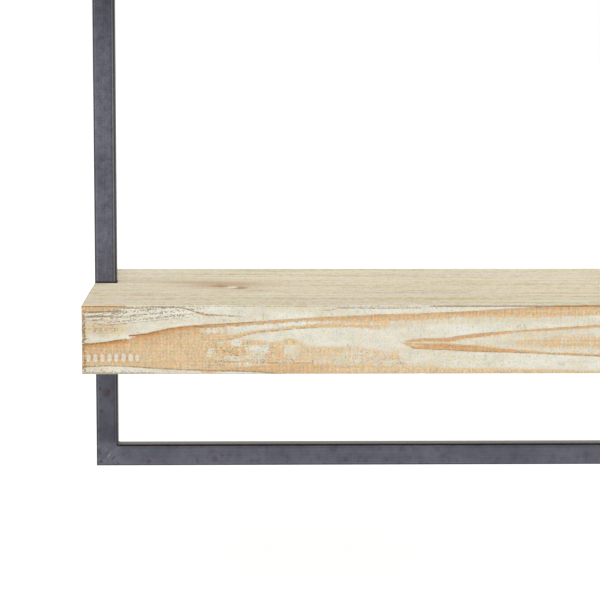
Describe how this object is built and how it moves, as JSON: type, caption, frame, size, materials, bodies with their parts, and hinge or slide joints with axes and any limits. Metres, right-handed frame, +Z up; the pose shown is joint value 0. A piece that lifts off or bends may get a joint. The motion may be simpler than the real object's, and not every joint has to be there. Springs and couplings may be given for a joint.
{
  "type": "shelving unit",
  "caption": "Wall-hung shelving unit: thick white-washed planks notched around a flat rectangular frame of welded square steel tube.",
  "frame": {"origin": "centre of the middle shelf's rear face, on the wall", "axes": "+Z up, +Y towards the wall, +X to the right as seen from the front"},
  "size_m": [0.7, 0.3, 1.09],
  "materials": {
    "frame_steel": "raw mill-finish steel tube under clear lacquer, slightly rusted",
    "weld_bead": "dark as-welded bead",
    "washed_wood": "white-washed rough-sawn softwood, dry matt",
    "black_screw": "black phosphated steel",
    "zinc_plate": "zinc-plated steel"
  },
  "bodies": {
    "root": {"left_upright": "frame_steel", "right_upright": "frame_steel", "bottom_rail": "frame_steel", "top_rail": "frame_steel", "weld_bottom_left": "weld_bead", "weld_bottom_right": "weld_bead", "weld_top_left": "weld_bead", "weld_top_right": "weld_bead", "bottom_shelf": "washed_wood", "middle_shelf": "washed_wood", "top_shelf": "washed_wood", "bottom_left_tab": "frame_steel", "bottom_right_tab": "frame_steel", "middle_left_tab": "frame_steel", "middle_right_tab": "frame_steel", "top_left_tab": "frame_steel", "top_right_tab": "frame_steel", "bottom_tab_screws": "black_screw", "middle_tab_screws": "black_screw", "top_tab_screws": "black_screw", "bottom_left_hanger": "zinc_plate", "bottom_right_hanger": "zinc_plate", "middle_left_hanger": "zinc_plate", "middle_right_hanger": "zinc_plate", "top_left_hanger": "zinc_plate", "top_right_hanger": "zinc_plate", "bottom_hanger_screws": "zinc_plate", "middle_hanger_screws": "zinc_plate", "top_hanger_screws": "zinc_plate"}
  },
  "joints": []
}
